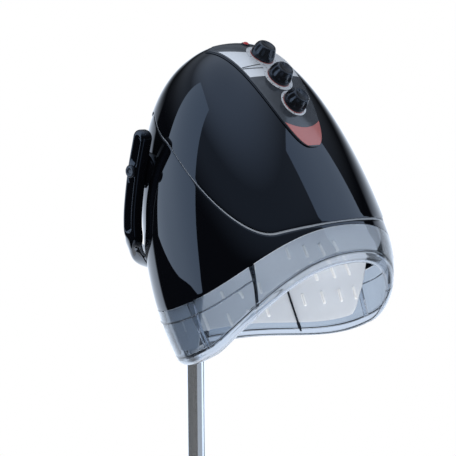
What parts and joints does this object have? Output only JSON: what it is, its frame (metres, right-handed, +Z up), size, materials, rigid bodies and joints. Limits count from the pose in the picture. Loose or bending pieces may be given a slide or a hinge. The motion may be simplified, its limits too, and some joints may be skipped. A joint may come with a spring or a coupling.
{
  "type": "standing hood dryer",
  "caption": "Standing hair dryer: a gloss black egg-shaped hood with a smoked visor, tilting on a yoke above a chrome pole that slides in a column on a star base with castors",
  "frame": {"origin": "on the floor under the centre of the whole box", "axes": "+Z up, the hood faces -Y, the wearer's left is +X"},
  "size_m": [0.615, 0.5848, 1.5726],
  "materials": {
    "gloss_black": "gloss black moulded plastic",
    "satin_black": "satin black plastic",
    "smoked_clear": null,
    "pale_plastic": "pale grey plastic",
    "seam_grey": "pale grey seal",
    "panel": "dark panel with silver patches and a red tip",
    "lamp_red": "clear red",
    "coated_aluminium": "black coated casting",
    "chrome": "polished chrome",
    "steel": "plain steel",
    "nylon": "natural white nylon",
    "wheel_rubber": "black tread"
  },
  "bodies": {
    "base": {"base_star": "coated_aluminium", "hub_cover": "gloss_black", "lower_column": "chrome", "column_bush": "nylon", "column_bolt": "steel", "height_collar": "satin_black", "cable_gland": "satin_black"},
    "height_screw": {"height_knob": "satin_black"},
    "mast": {"upper_pole": "chrome", "pole_guide": "nylon"},
    "yoke_frame": {"swivel_socket": "coated_aluminium", "yoke": "coated_aluminium", "yoke_bolt_1": "steel", "yoke_bolt_2": "steel", "pivot_pin_left": "steel", "pivot_pin_right": "steel", "pivot_nut_left": "satin_black", "pivot_nut_right": "satin_black"},
    "hood": {"front_cap": "gloss_black", "rear_shell": "gloss_black", "seam_gasket": "seam_grey", "visor_front": "smoked_clear", "visor_rear": "smoked_clear", "visor_rib_1": "satin_black", "visor_rib_2": "satin_black", "visor_rib_3": "satin_black", "visor_rib_4": "satin_black", "visor_rib_5": "satin_black", "visor_rib_6": "satin_black", "inner_bowl": "pale_plastic", "control_panel": "panel", "pilot_lamp": "lamp_red", "fan_plate": "nylon", "motor_mount": "steel", "fan_motor": "steel", "heater_ring": "steel", "thermal_cutout": "nylon", "terminal_block": "nylon", "timer": "nylon", "thermostat": "nylon", "speed_switch": "nylon", "filter_grille": "satin_black"},
    "timer_dial": {"knob_timer": "satin_black"},
    "heat_dial": {"knob_heat": "satin_black"},
    "speed_dial": {"knob_speed": "satin_black"},
    "fan": {"impeller": "satin_black"},
    "castor_1": {"castor_housing_1": "satin_black"},
    "wheels_1": {"castor_wheels_1": "wheel_rubber"},
    "castor_2": {"castor_housing_2": "satin_black"},
    "wheels_2": {"castor_wheels_2": "wheel_rubber"},
    "castor_3": {"castor_housing_3": "satin_black"},
    "wheels_3": {"castor_wheels_3": "wheel_rubber"},
    "castor_4": {"castor_housing_4": "satin_black"},
    "wheels_4": {"castor_wheels_4": "wheel_rubber"},
    "castor_5": {"castor_housing_5": "satin_black"},
    "wheels_5": {"castor_wheels_5": "wheel_rubber"}
  },
  "joints": [
    {"name": "height_screw_turn", "type": "hinge", "parent": "base", "child": "height_screw", "pos_m": [0, 0.06054, 0.786], "axis": [0, 1, 0], "range_deg": [-180, 180]},
    {"name": "mast_slide", "type": "slide", "parent": "base", "child": "mast", "axis": [0, 0, 1], "range_m": [-0.25, 0.16]},
    {"name": "yoke_swivel", "type": "hinge", "parent": "mast", "child": "yoke_frame", "pos_m": [0, 0.02457, 1.12], "axis": [0, 0, 1], "range_deg": [-160, 160]},
    {"name": "hood_tilt", "type": "hinge", "parent": "yoke_frame", "child": "hood", "pos_m": [0, -0.03418, 1.39309], "axis": [-1, 0, 0], "range_deg": [-2, 25]},
    {"name": "timer_turn", "type": "hinge", "parent": "hood", "child": "timer_dial", "pos_m": [0, -0.12016, 1.55014], "axis": [0, -0.5912, 0.8065], "range_deg": [-300, 0]},
    {"name": "heat_turn", "type": "hinge", "parent": "hood", "child": "heat_dial", "pos_m": [0, -0.15259, 1.52068], "axis": [0, -0.731, 0.6824], "range_deg": [-270, 0]},
    {"name": "speed_turn", "type": "hinge", "parent": "hood", "child": "speed_dial", "pos_m": [0, -0.18192, 1.48547], "axis": [0, -0.7979, 0.6028], "range_deg": [-90, 0]},
    {"name": "fan_spin", "type": "hinge", "parent": "hood", "child": "fan", "pos_m": [0, -0.06134, 1.46976], "axis": [0, 0.4067, 0.9136], "continuous": true},
    {"name": "castor_swivel_1", "type": "hinge", "parent": "base", "child": "castor_1", "pos_m": [0, -0.24043, 0.06], "axis": [0, 0, 1], "continuous": true},
    {"name": "wheel_roll_1", "type": "hinge", "parent": "castor_1", "child": "wheels_1", "pos_m": [0, -0.26243, 0.025], "axis": [1, 0, 0], "continuous": true},
    {"name": "castor_swivel_2", "type": "hinge", "parent": "base", "child": "castor_2", "pos_m": [0.25203, -0.05732, 0.06], "axis": [0, 0, 1], "continuous": true},
    {"name": "wheel_roll_2", "type": "hinge", "parent": "castor_2", "child": "wheels_2", "pos_m": [0.27295, -0.06412, 0.025], "axis": [0.309, 0.9511, 0], "continuous": true},
    {"name": "castor_swivel_3", "type": "hinge", "parent": "base", "child": "castor_3", "pos_m": [0.15576, 0.23896, 0.06], "axis": [0, 0, 1], "continuous": true},
    {"name": "wheel_roll_3", "type": "hinge", "parent": "castor_3", "child": "wheels_3", "pos_m": [0.16869, 0.25676, 0.025], "axis": [-0.809, 0.5878, 0], "continuous": true},
    {"name": "castor_swivel_4", "type": "hinge", "parent": "base", "child": "castor_4", "pos_m": [-0.15576, 0.23896, 0.06], "axis": [0, 0, 1], "continuous": true},
    {"name": "wheel_roll_4", "type": "hinge", "parent": "castor_4", "child": "wheels_4", "pos_m": [-0.16869, 0.25676, 0.025], "axis": [-0.809, -0.5878, 0], "continuous": true},
    {"name": "castor_swivel_5", "type": "hinge", "parent": "base", "child": "castor_5", "pos_m": [-0.25203, -0.05732, 0.06], "axis": [0, 0, 1], "continuous": true},
    {"name": "wheel_roll_5", "type": "hinge", "parent": "castor_5", "child": "wheels_5", "pos_m": [-0.27295, -0.06412, 0.025], "axis": [0.309, -0.9511, 0], "continuous": true}
  ]
}
